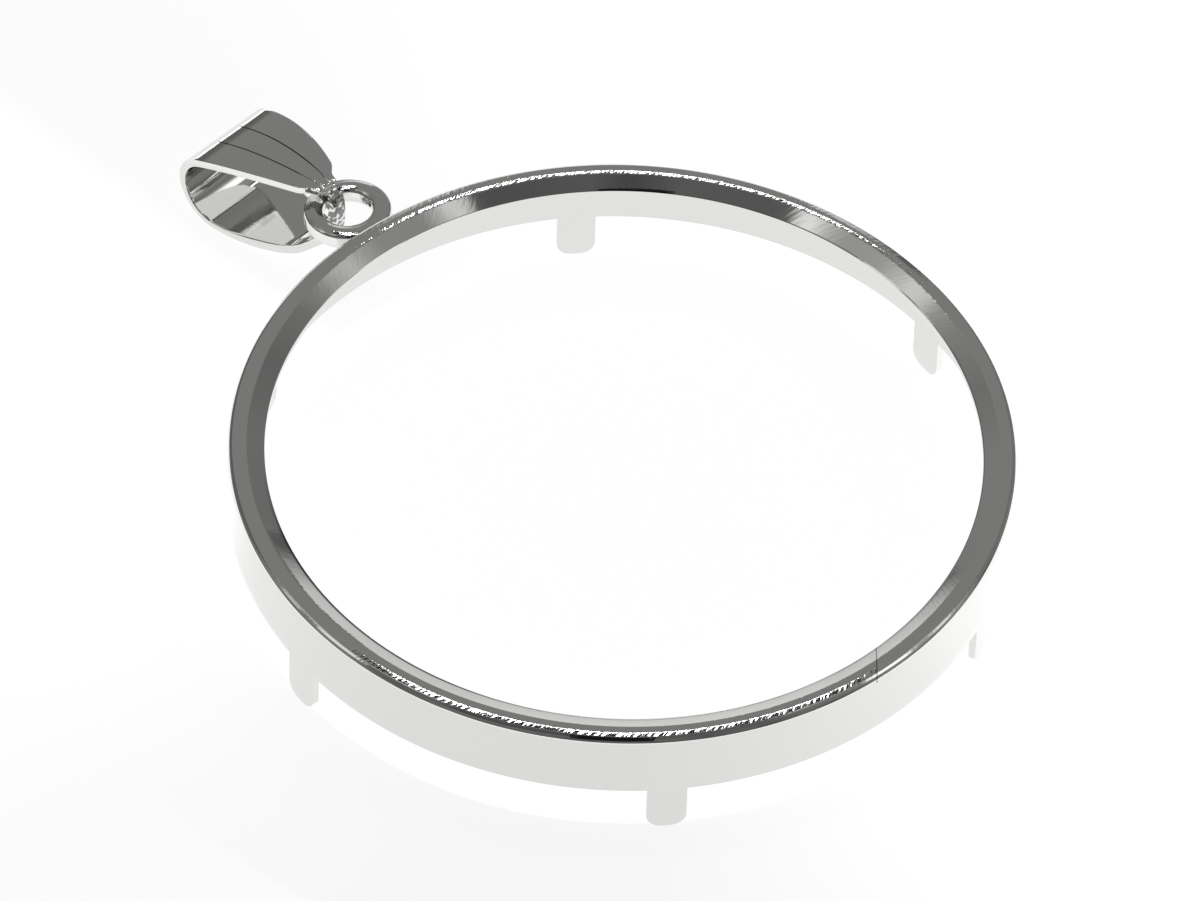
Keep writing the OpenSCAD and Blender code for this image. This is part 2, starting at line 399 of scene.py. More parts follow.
# %% [markdown]
# ## A card behind the piece
#
# A low white card, cut like a smile, stands behind the piece. The front bevel leans inwards and mirrors
# it, so that half of the rim shines pale. The card is near enough that the bail, further back, doesn't
# see it. It is out of the picture, so it is hidden from the lens and casts no light on the table.

# %% Card's outline
card_away = 120 * mm
# Lines down the card meet at a point high above it, so that each line serves one place of the rim
card_meet = 185 * mm
card_unit = 18.5 * mm
# Height of an edge in its middle, and how much it rises over each unit across, in mm
card_bottom, card_bottom_rise = 1.6, 16.5
card_top, card_top_rise = 26, 14.5
# Half the width of the smile's round middle, in units across
card_round = 0.35
# Height of the strip of painted shade along the card's foot
card_foot_shade_w = 6 * mm
# Places across the card in units of its width at the floor, and the linear brightness there
card_stops = [(-3.1, 0.21), (-2.85, 0.24), (-2.57, 0.36), (-2.23, 0.55), (-1.95, 0.655), (-1.35, 0.715),
              (-0.9, 0.76), (-0.4, 0.785), (0.2, 0.75), (0.7, 0.70), (1.1, 0.675), (1.7, 0.67), (2.17, 0.61),
              (2.39, 0.47), (2.65, 0.34), (2.83, 0.235), (3.0, 0.11), (3.35, 0.11), (3.5, 0.237)]
card_left, card_right = card_stops[0][0], card_stops[-1][0]


def card_height(share, middle, rise):
    """Height of an edge of the card, lowest in the middle and rising towards both ends."""
    return (middle + rise * (math.hypot(share, card_round) - card_round)) * mm


print("card's lower edge at its ends, mm:",
      [round(1000 * card_height(end, card_bottom, card_bottom_rise), 1) for end in (card_left, card_right)])

# %% Card mesh
card_columns = 66
# The strip of painted shade at the card's foot is the lowest fifth of the card's map
card_foot_shade_top = 0.2

card_mesh = bpy.data.meshes.new("card")
shape = bmesh.new()
card_map = shape.loops.layers.uv.new("card")
rows = []
for i in range(card_columns + 1):
    share = card_left + (card_right - card_left) * i / card_columns
    bottom = card_height(share, card_bottom, card_bottom_rise)
    top = card_height(share, card_top, card_top_rise)
    rows.append([(shape.verts.new((share * card_unit * (1 - z / card_meet), card_away, z)),
                  (i / card_columns, v)) for z, v in ((bottom - card_foot_shade_w, 0), (bottom, card_foot_shade_top), (top, 1))])
for left, right in zip(rows, rows[1:]):
    for k in range(2):
        corners = [left[k], right[k], right[k + 1], left[k + 1]]
        face = shape.faces.new([vert for vert, _ in corners])
        for corner, (_, at) in zip(face.loops, corners):
            corner[card_map].uv = at
shape.to_mesh(card_mesh)
shape.free()
card = bpy.data.objects.new("card", card_mesh)
card.rotation_euler.z = camera_azimuth + math.pi / 2
bpy.context.scene.collection.objects.link(card)
card.visible_camera = False
card.visible_diffuse = False
card.visible_shadow = False
print("card faces:", len(card_mesh.polygons))

# %% [markdown]
# The card is white paper, and what matters is how much light reaches each part of it: most in the middle,
# little at its ends. Its lower border is darker, painted shade at the card's foot, which thins out to the
# left.

# %% Card material
white_card = bpy.data.materials.new("white card")
white_card.use_nodes = True
tree = white_card.node_tree
tree.nodes.clear()
spot = add(tree, "ShaderNodeUVMap", uv_map="card").outputs["UV"]
across_card, up_card, _ = add(tree, "ShaderNodeSeparateXYZ", {"Vector": spot}).outputs
sheet = add(tree, "ShaderNodeValToRGB", {"Fac": across_card})
fill_ramp(sheet, [((place - card_left) / (card_right - card_left), value) for place, value in card_stops])
towards_top = add(tree, "ShaderNodeMapRange", {"Value": up_card, "From Min": card_foot_shade_top, "From Max": 1.0,
                                               "To Min": 0.92, "To Max": 1.08}).outputs["Result"]
border = add(tree, "ShaderNodeMath", {0: up_card, 1: card_foot_shade_top}, operation="LESS_THAN").outputs[0]
# Painted shade along the card's lower border
card_foot_shade = add(tree, "ShaderNodeMapRange", {"Value": across_card, "From Min": 0.35, "From Max": 0.55,
                                        "To Min": 0.7, "To Max": 0.05}).outputs["Result"]
strength = add(tree, "ShaderNodeMix", {0: border, 2: towards_top, 3: card_foot_shade}).outputs[0]
emission = add(tree, "ShaderNodeEmission", {"Color": sheet.outputs["Color"], "Strength": strength})
add(tree, "ShaderNodeOutputMaterial", {"Surface": emission.outputs[0]})
card_mesh.materials.append(white_card)
print("places across the card:", len(card_stops))

# %% [markdown]
# ## Polished silver
#
# The pieces are sterling silver, cut and pressed, then buffed on a wheel. Buffing leaves a mirror that is
# never quite flat: long soft waves of a few millimetres, and fine ripples a quarter of a millimetre apart
# that break a thin light into beads. Silver mirrors about three quarters of the light with hardly any
# tint.
#
# Both kinds of unevenness are too shallow to model, a few hundredths of a millimetre at most, and so they
# are bump. Each is given by its spacing and its slope, and the height follows from the two.

# %% Silver material
silver_colour = linear("#E2E2E0")
polish_roughness = 0.05
# A noise texture rises about two thirds of its height over its spacing
noise_slope = 0.65


def buffed_silver(name, wave_mm, wave_slope, ripple_mm, ripple_slope, ripple_place=None, ripple_mask=None,
                  colour_of=None):
    material = bpy.data.materials.new(name)
    material.use_nodes = True
    tree = material.node_tree
    tree.nodes.clear()
    place = add(tree, "ShaderNodeTexCoord").outputs["Object"]
    waves = add(tree, "ShaderNodeTexNoise", {"Vector": place, "Scale": 1 / (wave_mm * mm), "Detail": 1.0})
    at = ripple_place(tree, place) if ripple_place else place
    ripples = add(tree, "ShaderNodeTexNoise", {"Vector": at, "Scale": 1 / (ripple_mm * mm), "Detail": 1.0})
    ripple_share = ripple_mask(tree, place) if ripple_mask else 1.0
    ripple_height = add(tree, "ShaderNodeMath", {0: ripples.outputs["Fac"], 1: 0.5},
                        operation="SUBTRACT").outputs[0]
    ripple_height = add(tree, "ShaderNodeMath", {0: ripple_height, 1: ripple_share},
                        operation="MULTIPLY").outputs[0]
    rough = add(tree, "ShaderNodeBump", {"Height": ripple_height,
                                         "Distance": ripple_slope * ripple_mm * mm / noise_slope})
    wavy = add(tree, "ShaderNodeBump", {"Height": waves.outputs["Fac"],
                                        "Distance": wave_slope * wave_mm * mm / noise_slope,
                                        "Normal": rough.outputs["Normal"]})
    cloudy = add(tree, "ShaderNodeMapRange", {"Value": waves.outputs["Fac"], "To Min": 0.8 * polish_roughness,
                                              "To Max": 1.3 * polish_roughness})
    colour = colour_of(tree, place) if colour_of else silver_colour
    surface = add(tree, "ShaderNodeBsdfPrincipled", {"Base Color": colour, "Metallic": 1.0,
                                                     "Roughness": cloudy.outputs["Result"],
                                                     "Normal": wavy.outputs["Normal"]})
    add(tree, "ShaderNodeOutputMaterial", {"Surface": surface.outputs["BSDF"]})
    ripple_rise = 1000 * ripple_slope * ripple_mm / noise_slope
    print(name, "ripples, mm:", ripple_mm, "and their height, micrometres:", round(ripple_rise, 1))
    return material

# %% [markdown]
# The rim is buffed as it turns, so its ripples run slantwise across the crown. Their pattern is drawn in
# coordinates that are squeezed towards the crown's middle and twisted with the radius. They are strong
# only on the crown's two edges, which the wheel rounds by hand, and weak on the bevel, band and wall.

# %% Silver of the rim
crown_middle = 20.2 * mm
across_stretch = 0.35
# Radians of twist for each metre of radius
twist = 40.0
# Radius in mm, and the share of the ripples there
ripples_by_radius = [(18.9, 0.1), (19.8, 0.1), (19.86, 0.4), (19.94, 1.0), (20.06, 1.0), (20.09, 0.03),
                     (20.24, 0.03), (20.28, 0.42), (20.52, 0.42), (20.56, 0.18), (20.75, 0.02)]


def rim_radius(tree, place):
    flat = add(tree, "ShaderNodeVectorMath", {0: place, 1: (1, 1, 0)}, operation="MULTIPLY").outputs["Vector"]
    return flat, add(tree, "ShaderNodeVectorMath", {0: flat}, operation="LENGTH").outputs["Value"]


def slanted_place(tree, place):
    flat, radius = rim_radius(tree, place)
    outwards = add(tree, "ShaderNodeVectorMath", {0: flat}, operation="NORMALIZE").outputs["Vector"]
    from_middle = add(tree, "ShaderNodeMath", {0: radius, 1: crown_middle}, operation="SUBTRACT").outputs[0]
    squeezed = add(tree, "ShaderNodeMath", {0: from_middle, 1: across_stretch, 2: crown_middle},
                   operation="MULTIPLY_ADD").outputs[0]
    ring_place = add(tree, "ShaderNodeVectorMath", {0: outwards, "Scale": squeezed}, operation="SCALE")
    angle = add(tree, "ShaderNodeMath", {0: from_middle, 1: twist}, operation="MULTIPLY").outputs[0]
    return add(tree, "ShaderNodeVectorRotate", {"Vector": ring_place.outputs["Vector"], "Angle": angle},
               rotation_type="Z_AXIS").outputs["Vector"]


def crown_edge_mask(tree, place):
    _, radius = rim_radius(tree, place)
    across_rim = add(tree, "ShaderNodeMapRange", {"Value": radius, "From Min": lip_r, "From Max": outer_r})
    ramp = add(tree, "ShaderNodeValToRGB", {"Fac": across_rim.outputs["Result"]})
    fill_ramp(ramp, [((radius_mm * mm - lip_r) / (outer_r - lip_r), share)
                     for radius_mm, share in ripples_by_radius])
    return ramp.outputs["Color"]


print("radii with a share of ripples:", len(ripples_by_radius))

# %% [markdown]
# The strip's two ends meet in a fine soldered joint, which shows as a dark hair line slanting across the
# bevel and the band. On one side the lip's sharp edge is painted dark, painted shade along that edge. Both
# are thinner than a tenth of a millimetre, so they are drawn as colour.

# %% Colour of the rim
joint_azimuth = math.radians(-89.0)
joint_slant = 0.85
joint_half_width = 0.03 * mm
solder_colour = linear("#6E6E6C")
# Colour of the painted shade along one side of the lip's sharp edge
lip_edge_shade_colour = linear("#484846")


def rim_colour(tree, place):
    along, outward, height = add(tree, "ShaderNodeSeparateXYZ", {
        "Vector": add(tree, "ShaderNodeVectorRotate", {"Vector": place, "Angle": math.pi / 2 - joint_azimuth},
                      rotation_type="Z_AXIS").outputs["Vector"]}).outputs
    inwards = add(tree, "ShaderNodeMath", {0: crown_middle, 1: outward}, operation="SUBTRACT").outputs[0]
    line = add(tree, "ShaderNodeMath", {0: inwards, 1: joint_slant, 2: along},
               operation="MULTIPLY_ADD").outputs[0]
    off_line = add(tree, "ShaderNodeMath", {0: line}, operation="ABSOLUTE").outputs[0]
    on_line = add(tree, "ShaderNodeMath", {0: off_line, 1: joint_half_width},
                  operation="LESS_THAN").outputs[0]
    this_side = add(tree, "ShaderNodeMath", {0: outward, 1: 0.0}, operation="GREATER_THAN").outputs[0]
    above_wall = add(tree, "ShaderNodeMath", {0: height, 1: seat_depth + lip_t},
                     operation="GREATER_THAN").outputs[0]
    mask = add(tree, "ShaderNodeMath", {0: on_line, 1: this_side}, operation="MULTIPLY").outputs[0]
    mask = add(tree, "ShaderNodeMath", {0: mask, 1: above_wall}, operation="MULTIPLY").outputs[0]
    joined = add(tree, "ShaderNodeMix", {0: mask, 6: silver_colour, 7: solder_colour},
                 data_type="RGBA").outputs[2]
    # The lip's painted edge shade, read from the mesh
    on_shaded_edge = add(tree, "ShaderNodeAttribute", attribute_name="lip_edge_shade").outputs["Fac"]
    return add(tree, "ShaderNodeMix", {0: on_shaded_edge, 6: joined, 7: lip_edge_shade_colour},
               data_type="RGBA").outputs[2]


rim_silver = buffed_silver("buffed sterling silver rim", 3.0, 0.004, 0.26, 0.045, slanted_place,
                           crown_edge_mask, rim_colour)
ring_silver = buffed_silver("buffed sterling silver wire", 1.6, 0.01, 0.26, 0.016)

# %% [markdown]
# The bail's narrow tip is squeezed round the ring's wire with pliers, which leaves small dents there. Inside
# the ring the tip is painted a darker grey, painted shade of the ring's hollow, with spots of plain silver
# in it. The engraved lines are painted dark, painted shade in the grooves.

# %% Silver of the bail's sheet
# Colour of the painted shade on the tip inside the ring
ring_shade_colour = linear("#7E7E7C")
# Colour of the painted shade in the engraved lines
groove_shade_colour = linear("#4E4E4C")
spot_mm = 0.36
# Distances from the middle of the ring's wire: where the dents fade and where the painted shade does
dents_from, dents_to = 0.1 * mm, 0.7 * mm
ring_shade_from, ring_shade_to = -0.75 * mm, -0.45 * mm


def from_the_wire(tree, place):
    outwards = (-math.sin(bail_turn), math.cos(bail_turn), 0)
    from_wire = add(tree, "ShaderNodeVectorMath", {0: place, 1: tuple(hinge)},
                    operation="SUBTRACT").outputs["Vector"]
    return add(tree, "ShaderNodeVectorMath", {0: from_wire, 1: outwards},
               operation="DOT_PRODUCT").outputs["Value"]


def tip_mask(tree, place):
    return add(tree, "ShaderNodeMapRange", {"Value": from_the_wire(tree, place),
                                            "From Min": dents_from, "From Max": dents_to,
                                            "To Min": 1.0, "To Max": 0.02}).outputs["Result"]


def sheet_colour(tree, place):
    # Painted shade on the tip inside the ring, broken by spots of plain silver
    ring_shade_share = add(tree, "ShaderNodeMapRange", {"Value": from_the_wire(tree, place),
                                               "From Min": ring_shade_from, "From Max": ring_shade_to,
                                               "To Min": 1.0, "To Max": 0.0}).outputs["Result"]
    spots = add(tree, "ShaderNodeTexNoise", {"Vector": place, "Scale": 1 / (spot_mm * mm), "Detail": 1.0})
    shaded_spots = add(tree, "ShaderNodeMapRange", {"Value": spots.outputs["Fac"],
                                               "From Min": 0.52, "From Max": 0.57,
                                               "To Min": 1.0, "To Max": 0.0}).outputs["Result"]
    ring_shade = add(tree, "ShaderNodeMath", {0: ring_shade_share, 1: shaded_spots}, operation="MULTIPLY").outputs[0]
    # Painted shade in the engraved lines, read from the mesh
    groove_shade = add(tree, "ShaderNodeAttribute", attribute_name="groove_shade").outputs["Fac"]
    lined = add(tree, "ShaderNodeMix", {0: groove_shade, 6: silver_colour, 7: groove_shade_colour},
                data_type="RGBA").outputs[2]
    return add(tree, "ShaderNodeMix", {0: ring_shade, 6: lined, 7: ring_shade_colour}, data_type="RGBA").outputs[2]


sheet_silver = buffed_silver("buffed sterling silver sheet", 2.4, 0.003, 0.3, 0.14, ripple_mask=tip_mask,
                             colour_of=sheet_colour)

# %% [markdown]
# ## Drawing a section
#
# Each piece starts from its section: a line made of arcs, as a jeweller would draw it. `arc` gives points
# along one arc, and every section below is a few arcs joined end to end. `show` turns a finished mesh into
# a piece, with the soft edges that a buffing wheel leaves.

# %% Helpers for arcs and pieces
def arc(centre, radius, start, end, steps):
    angles = [start + (end - start) * i / steps for i in range(steps + 1)]
    return [(centre[0] + radius * math.cos(a), centre[1] + radius * math.sin(a)) for a in angles]


def show(name, shape, material, body, edge_round):
    """Turns a bmesh into a piece with softly rounded edges, riding on a body of the measured model."""
    bmesh.ops.remove_doubles(shape, verts=shape.verts, dist=1e-7)
    bmesh.ops.recalc_face_normals(shape, faces=shape.faces)
    for face in shape.faces:
        face.smooth = True
    mesh = bpy.data.meshes.new(name)
    shape.to_mesh(mesh)
    shape.free()
    mesh.materials.append(material)
    piece = bpy.data.objects.new(name, mesh)
    bpy.context.scene.collection.objects.link(piece)
    rounding = piece.modifiers.new("edge rounding", "BEVEL")
    rounding.limit_method = "WEIGHT" if "bevel_weight_edge" in mesh.attributes else "ANGLE"
    rounding.angle_limit = math.radians(35)
    rounding.width = edge_round
    rounding.segments = 3
    rounding.harden_normals = False
    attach(piece, body)
    print(name, "faces:", len(mesh.polygons))
    return piece

# %% [markdown]
# ## Rim, wall and tabs
#
# On the bench this is one strip of silver, pressed to its section and closed into a circle. A turned
# solid would be quick, but the tabs are part of the same wall with no joint, so the mesh is made in
# columns round the circle: each column carries the whole section, and the columns inside a tab carry the
# wall further down, to the tab's rounded end.

# %% Section of the rim
# Each run of the section has a width and turns evenly from one slope to another. Slopes are in degrees,
# and rise towards the crown where they are below zero.
rim_runs = [
    # name, width in mm, first slope, last slope, steps
    ("lip edge", 0.09, -26.4, -25.8, 2),
    ("bevel", 0.87, -24.2, -20.0, 8),
    ("dark inner edge", 0.09, -14.0, -12.9, 2),
    ("inner buffed edge", 0.11, -12.8, -12.3, 4),
    ("crown", 0.18, -4.0, 4.0, 6),
    ("outer turn", 0.02, 4.0, 10.8, 4),
    ("outer buffed edge", 0.27, 12.0, 12.7, 6),
    ("shoulder top", 0.13, 26.0, 36.0, 8),
    ("shoulder", 0.14, 38.0, 90.0, 16)]
print("width of the rim, mm:", round(sum(run[1] for run in rim_runs), 2))


def follow_runs(radius, height, runs):
    points = [(radius, height)]
    for _, width_mm, first, last, steps in runs:
        first, last = math.radians(first), math.radians(last)
        turn_radius = width_mm * mm / (math.sin(last) - math.sin(first))
        for i in range(1, steps + 1):
            slope = first + (last - first) * i / steps
            points.append((radius + turn_radius * (math.sin(slope) - math.sin(first)),
                           height + turn_radius * (math.cos(slope) - math.cos(first))))
        radius, height = points[-1]
    return points


# %% Whole section of the rim and wall
quarter = math.pi / 2
outside_rows, inside_rows = 5, 4
top_face = follow_runs(lip_r, seat_depth + lip_t, rim_runs)
wall_top = top_face[-1][1]
top_face[-1] = (outer_r, wall_top)
rim_section = (
    [(outer_r, wall_top * i / outside_rows) for i in range(outside_rows)]
    + top_face[::-1]
    + [(lip_r, seat_depth), ((lip_r + seat_r) / 2, seat_depth), (seat_r, seat_depth)]
    + [(seat_r, seat_depth * i / inside_rows) for i in reversed(range(inside_rows))])
lip_corner = outside_rows + len(top_face) - 1
crown_height = max(height for _, height in top_face)
print("points in the section:", len(rim_section), "crown, mm:", round(1000 * crown_height, 3),
      "wall top, mm:", round(1000 * wall_top, 3))

# %% [markdown]
# The columns are spaced evenly along the plain wall, and closer where a tab's rounded corners need them. A
# column at a tab's side belongs to the tab on one side only, so it keeps a depth for each side.

# %% Columns round the circle
tab_corner_steps = 12
gap_steps = 120


def tab_columns():
    """Distances across a tab from its middle, with the depth of its end at each."""
    flat = tab_w / 2 - tab_corner_r
    turns = [quarter * i / tab_corner_steps for i in range(tab_corner_steps + 1)]
    right = [(flat + tab_corner_r * math.sin(turn), tab_len - tab_corner_r + tab_corner_r * math.cos(turn))
             for turn in turns]
    return [(-x, depth) for x, depth in reversed(right)] + right


def rim_columns():
    """(angle, tab depth on the column's left side, tab depth on its right side) all the way round."""
    step = 2 * math.pi / tab_count
    half_angle = tab_w / 2 / outer_r
    columns = []
    for tab in range(tab_count):
        middle = quarter + (tab + 0.5) * step + tab_turn
        inside = [(middle + x / outer_r, depth, depth) for x, depth in tab_columns()]
        inside[0] = (inside[0][0], 0, inside[0][1])
        inside[-1] = (inside[-1][0], inside[-1][1], 0)
        columns += inside
        gap = step - 2 * half_angle
        columns += [(middle + half_angle + gap * i / gap_steps, 0, 0) for i in range(1, gap_steps)]
    return columns


columns = rim_columns()
print("columns:", len(columns))

# %% [markdown]
# The opening of the rim is a hair off centre in the real piece: the lip is about 0.1 mm wider on one side.
# Only the finish shows it, so the lip's points move, and the wall keeps its place. Where the lip's sharp edge
# carries painted shade, the mesh carries its share, which the rim's colour reads.

# %% Lip shift and painted edge shade
lip_shift = 0.09 * mm
lip_grow = 0.02 * mm
lip_shift_azimuth = math.radians(-26.2)
# Middle of the painted edge shade, half its length, and the angle over which it fades at each end
edge_shade_middle, edge_shade_half, edge_shade_fade = math.radians(-175), math.radians(16), math.radians(23)
edge_shade_points = 3


def edge_shade_share(angle):
    away = abs(math.remainder(angle - edge_shade_middle, 2 * math.pi))
    return min(1, max(0, (edge_shade_half + edge_shade_fade - away) / edge_shade_fade))


def rim_point(angle, point):
    radius, height = point
    if height > seat_depth - lip_t / 2:
        share = ((outer_r - radius) / (outer_r - lip_r)) ** 2
        radius += share * (lip_grow + lip_shift * math.cos(angle - lip_shift_azimuth))
    return (radius * math.cos(angle), radius * math.sin(angle), height)


print("lip radius at its widest, mm:", round(1000 * (lip_r + lip_grow + lip_shift), 2))

# %% Rim mesh
tab_rows = 5


def build_rim():
    shape = bmesh.new()
    # Share of painted shade along the lip's sharp edge, at each point
    lip_edge_shade = shape.verts.layers.float.new("lip_edge_shade")
    grid = [[shape.verts.new(rim_point(angle, point)) for point in rim_section] for angle, _, _ in columns]
    for column, (angle, _, _) in zip(grid, columns):
        for vert in column[lip_corner - edge_shade_points + 1:lip_corner + 1]:
            vert[lip_edge_shade] = edge_shade_share(angle)
    count = len(columns)
    last = len(rim_section) - 1

    def legs(index, depth):
        """The two lines of a tab, outside and inside the wall, down from the wall's edge."""
        angle = columns[index][0]
        lines = []
        for radius, top in ((outer_r, grid[index][0]), (seat_r, grid[index][last])):
            rows = [top]
            for row in range(1, tab_rows + 1):
                rows.append(shape.verts.new((radius * math.cos(angle), radius * math.sin(angle),
                                             -depth * row / tab_rows)))
            lines.append(rows)
        return lines

    tab_lines = {i: legs(i, max(left, right)) for i, (_, left, right) in enumerate(columns)
                 if max(left, right) > 0}
    for i, (_, _, right_depth) in enumerate(columns):
        j = (i + 1) % count
        for k in range(last):
            shape.faces.new((grid[i][k], grid[j][k], grid[j][k + 1], grid[i][k + 1]))
        if right_depth == 0:
            shape.faces.new((grid[i][last], grid[j][last], grid[j][0], grid[i][0]))
            continue
        for side in (0, 1):
            a, b = tab_lines[i][side], tab_lines[j][side]
            for k in range(tab_rows):
                shape.faces.new((a[k], b[k], b[k + 1], a[k + 1]))
        shape.faces.new((tab_lines[i][0][-1], tab_lines[j][0][-1], tab_lines[j][1][-1], tab_lines[i][1][-1]))
    for i, (_, left, right) in enumerate(columns):
        if i in tab_lines and (left == 0 or right == 0):
            outside, inside = tab_lines[i]
            for k in range(tab_rows):
                shape.faces.new((outside[k], inside[k], inside[k + 1], outside[k + 1]))
    return shape


rim = show("rim_with_tabs", build_rim(), rim_silver, "frame", 0.03 * mm)
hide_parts("coin_frame")

# %% [markdown]
# ## The soldered ring
#
# A short length of slightly flattened wire, closed round a mandrel and soldered to the wall, where it
# droops by a few degrees. A torus has a round wire only, so the ring is swept from its own section. Its top
# is buffed a little flatter than the measured wire, and the bail swings clear of it.

# %% Section of the wire
wire_steps = 16
buffed_off = 0.08 * mm
# One half of the wire's top, from its middle to its side, in the same columns as the rim's runs
wire_runs = [
    ("top", 0.13, 0.0, 5.0, 4),
    ("buffed edge", 0.25, 15.3, 16.3, 4),
    ("side", 0.14, 18.0, 90.0, 12)]


def wire_section():
    """The wire's section round from the outer side, over the top, to the inner side, and back below."""
    half_top = follow_runs(0, ring_wire_h / 2 - buffed_off, wire_runs)
    half_bottom = arc((0, -(ring_wire_h - ring_wire_w) / 2), ring_wire_w / 2, 0, -quarter, wire_steps // 2)
    right = half_bottom[::-1][1:] + half_top[::-1][:-1]
    left = [(-x, z) for x, z in reversed(right)]
    return right + [half_top[0]] + left + [half_bottom[-1]]


print("points in the wire's section:", len(wire_section()))

# %% Ring mesh
ring_steps = 160


def build_ring():
    shape = bmesh.new()
    droop = Matrix.Translation((0, ring_y, ring_z)) @ Matrix.Rotation(-ring_droop, 4, "X")
    section = wire_section()
    rows = []
    for i in range(ring_steps):
        turn = 2 * math.pi * i / ring_steps
        outwards = Vector((math.cos(turn), math.sin(turn), 0))
        rows.append([shape.verts.new(droop @ ((ring_r + x) * outwards + Vector((0, 0, z))))
                     for x, z in section])
    for i in range(ring_steps):
        for k in range(len(section)):
            a, b = rows[i], rows[(i + 1) % ring_steps]
            m = (k + 1) % len(section)
            shape.faces.new((a[k], b[k], b[m], a[m]))
    return shape


ring = show("soldered_ring", build_ring(), ring_silver, "frame", 0.02 * mm)
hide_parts("coin_frame")

# %% [markdown]
# ## The bail
#
# A leaf of sheet, narrow at both ends, bent into a loop that hangs on the ring. Two shallow lines follow
# its outline on the front. The loop is drawn from the side as five arcs, and the width at each place
# comes from the leaf's outline, so the whole bail is one grid: along the loop, and across the leaf.
#
# In the side view, u runs outwards from the middle of the ring's wire and v upwards.

# %% Side view of the bail
tip_r = ring_wire_h / 2 + bail_gap + bail_t
front_end = quarter - front_end_slope
back_end = 3 * quarter - back_end_slope
bail_reach = (hinge.z + tab_len - rest_gap - bail_w / 2 * math.sin(bail_lean)) / math.cos(bail_lean)
fold_height = tip_r - front_r * (1 - math.sin(front_end)) + bail_reach
fold_r = fold_height / (1 + math.sin(front_end))
front_c = (0, tip_r - front_r)
fold_c = ((front_r - fold_r) * math.cos(front_end), front_c[1] + (front_r - fold_r) * math.sin(front_end))
back_c = (fold_c[0], fold_c[1] + back_r - fold_r)
belly_r = (tip_r + back_c[0] + back_r * math.cos(back_end)) / (1 + math.cos(back_end))
belly_c = (back_c[0] + (back_r - belly_r) * math.cos(back_end),
           back_c[1] + (back_r - belly_r) * math.sin(back_end))

tip_steps, front_steps, back_steps, belly_steps = 16, 40, 16, 24
# The fold's steps are finer above this angle, where the engraved lines run out
fold_turn = math.radians(20)
upper_fold_steps, lower_fold_steps = 14, 28


def loop(depth):
    """Points round the loop at a depth inside its outer face, from the tip over the front to the back."""
    return (arc((0, 0), tip_r - depth, math.pi, quarter, tip_steps)[:-1]
            + arc(front_c, front_r - depth, quarter, front_end, front_steps)[:-1]
            + arc(fold_c, fold_r - depth, front_end, fold_turn, upper_fold_steps)[:-1]
            + arc(fold_c, fold_r - depth, fold_turn, -quarter, lower_fold_steps)[:-1]
            + arc(back_c, back_r - depth, 3 * quarter, back_end, back_steps)[:-1]
            + arc(belly_c, belly_r - depth, back_end, math.pi, belly_steps)[:-1])


print("fold radius, mm:", round(1000 * fold_r, 3), "belly radius, mm:", round(1000 * belly_r, 3))

# %% [markdown]
# The back panel is hammered from the inside, so it is a little thinner towards the fold and thicker towards
# the ring. What the loop's inside mirrors depends on that slight step.

# %% Thickness of the back panel
panel_step = 0.12 * mm
# Where along u the panel's thickness changes, and over what length
panel_middle, panel_blend = 4.6 * mm, 1.4 * mm
# Between these heights the front turns into the back
panel_top, panel_full = -1.8 * mm, -4.5 * mm


def thicker(u, v):
    """How much thicker than the rest the sheet is at a place of its inner face."""
    behind = min(1, max(0, (panel_top - v) / (panel_top - panel_full)))
    behind = behind ** 2 * (3 - 2 * behind)
    return behind * panel_step * math.tanh((panel_middle - u) / panel_blend)


print("sheet on the back panel, mm:", [round(1000 * (bail_t + side * panel_step), 2) for side in (1, -1)])

# %% [markdown]
# From above, the leaf lies between two long arcs and closes in on a short neck. The tip, which passes
# through the ring, is narrower still, so that it turns in the ring with room to spare.

# %% Outline of the leaf
neck_w = 1.45 * mm
tip_w = 0.8 * mm
neck_u = 0.1 * mm


def half_width(u):
    """Half the leaf's width at a distance u from the ring's wire."""
    side = bail_w / 2 - bail_side_r + math.sqrt(bail_side_r ** 2 - (u - bail_taper_len) ** 2)
    if u < neck_u:
        neck = (tip_w + (neck_w - tip_w) * (u + tip_r) / (neck_u + tip_r)) / 2
    else:
        # Beyond the neck each side opens at 45 degrees
        neck = neck_w / 2 + (u - neck_u)
    return min(side, neck)


print("widest place of the leaf, mm:", round(2000 * half_width(bail_taper_len), 2))

# %% [markdown]
# The two lines are cut with a graver. It leans, so a line has one sloping side and one steep side. A line
# starts shallow by the ring and runs out in the fold. It is a real groove in the mesh, and the mesh also
# carries a share of painted shade in it, which the sheet's colour reads.

# %% Engraved lines
line_depth = 0.09 * mm
line_w = 0.08 * mm
# Place of a line, as a share of the leaf's half width
line_share = 0.3
# Section of a line: place in line widths, share of its depth
line_cut = [(-0.5, 0), (-0.4, 1), (0.5, 0)]
plain_columns = 10
# Share of the full depth by the ring and further on, the rows over which it grows, and those where it ends
line_start, line_most, line_start_rows, line_end_rows = 0.5, 0.85, 14, 8
grooved_rows = range(tip_steps, tip_steps + front_steps + 6)
# Painted shade sets in where a line is deeper than a share of its full depth
groove_shade_from, groove_shade_full = 0.5, 0.8


def line_fade(row):
    """Share of the full line depth in one row along the loop."""
    if row not in grooved_rows:
        return 0
    growing = line_start + (line_most - line_start) * (row - grooved_rows[0]) / line_start_rows
    return min(line_most, growing, (grooved_rows[-1] - row) / line_end_rows)


# Share of painted shade for a line's depth
def groove_shade_share(depth):
    return min(1, max(0, (depth / line_depth - groove_shade_from) / (groove_shade_full - groove_shade_from)))


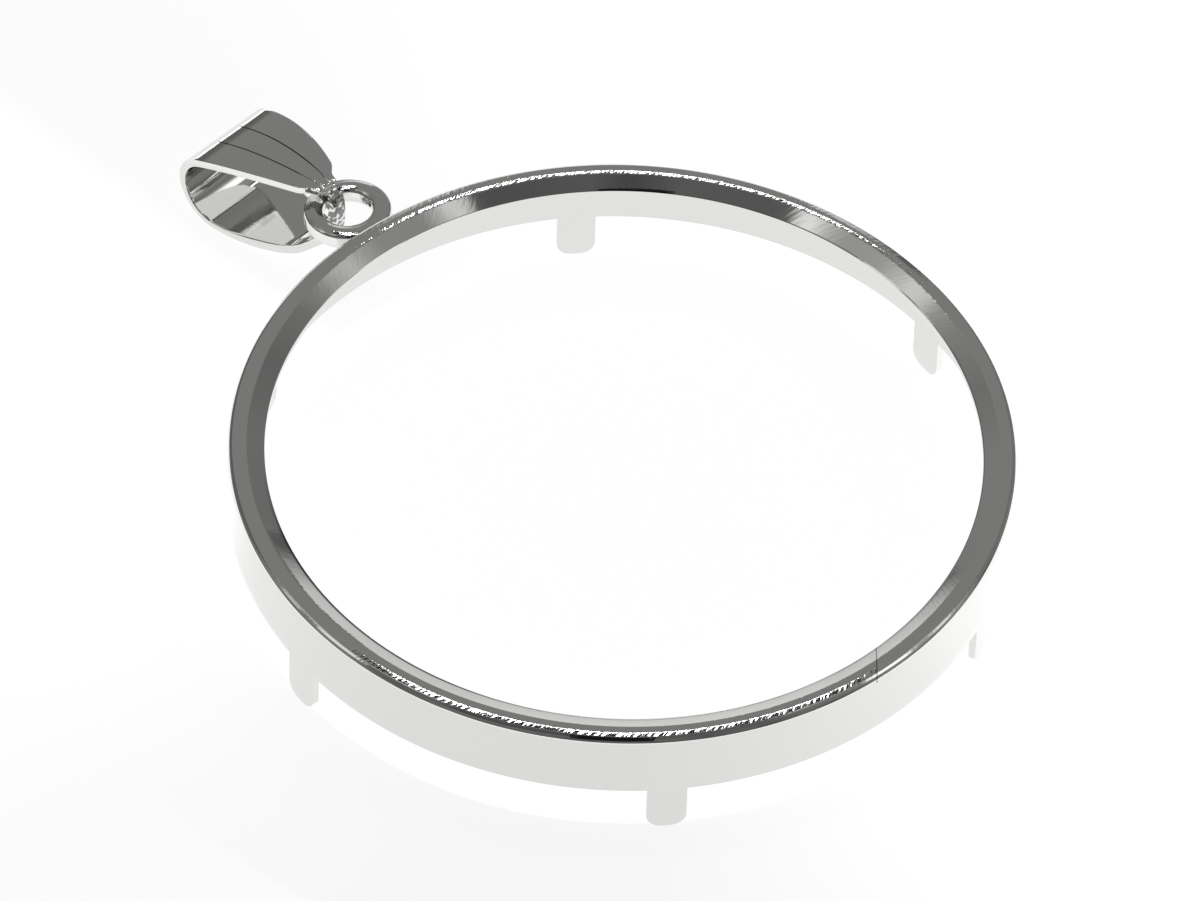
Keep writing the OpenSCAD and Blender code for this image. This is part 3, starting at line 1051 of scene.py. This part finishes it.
def leaf_columns(u):
    """(place across the leaf, share of the full line depth there) from one side to the other."""
    half = half_width(u)
    columns = []
    start = -half
    for middle in (-line_share * half, line_share * half):
        end = middle + line_cut[0][0] * line_w
        columns += [(start + (end - start) * i / plain_columns, 0) for i in range(plain_columns)]
        columns += [(middle + x * line_w, share) for x, share in line_cut]
        start = columns.pop()[0]
    return columns + [(start + (half - start) * i / plain_columns, 0) for i in range(plain_columns + 1)]


sharp_columns = [k for k, (_, share) in enumerate(leaf_columns(bail_taper_len)) if share]
sharp_columns = sorted(k + step for k in sharp_columns for step in (-1, 0, 1))
print("columns with a line's sharp edges:", sharp_columns)

# %% Bail mesh
def build_bail():
    shape = bmesh.new()
    place = (Matrix.Translation(hinge) @ Matrix.Rotation(quarter + bail_turn, 4, "Z")
             @ Matrix.Rotation(-bail_lean, 4, "X"))
    outer, inner = loop(0), loop(bail_t)
    rounded = shape.edges.layers.float.new("bevel_weight_edge")
    # Share of painted shade in the engraved lines, at each point
    groove_shade = shape.verts.layers.float.new("groove_shade")
    skins = [[], []]
    for i in range(len(outer)):
        for skin, points in enumerate((outer, inner)):
            u, v = points[i]
            inwards = (Vector(inner[i]) - Vector(outer[i])).normalized()
            if skin == 1:
                u, v = Vector((u, v)) + inwards * thicker(u, v)
            row = []
            for across, share in leaf_columns(u):
                depth = line_depth * share * line_fade(i) if skin == 0 else 0
                spot = Vector((u + inwards.x * depth, across, v + inwards.y * depth))
                row.append(shape.verts.new(place @ spot))
                row[-1][groove_shade] = groove_shade_share(depth)
            skins[skin].append(row)
    count, width = len(outer), len(skins[0][0])
    for i in range(count):
        j = (i + 1) % count
        for k in range(width - 1):
            a, b = skins[0][i], skins[0][j]
            shape.faces.new((a[k], a[k + 1], b[k + 1], b[k]))
            a, b = skins[1][i], skins[1][j]
            shape.faces.new((a[k], b[k], b[k + 1], a[k + 1]))
        for k in (0, width - 1):
            shape.faces.new((skins[0][i][k], skins[0][j][k], skins[1][j][k], skins[1][i][k]))
            for skin in skins:
                shape.edges.get((skin[i][k], skin[j][k]))[rounded] = 1.0
        if i in grooved_rows:
            for k in sharp_columns:
                shape.edges.get((skins[0][i][k], skins[0][j][k])).smooth = False
    return shape


bail = show("bail_leaf", build_bail(), sheet_silver, "bail", 0.06 * mm)
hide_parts("bail")
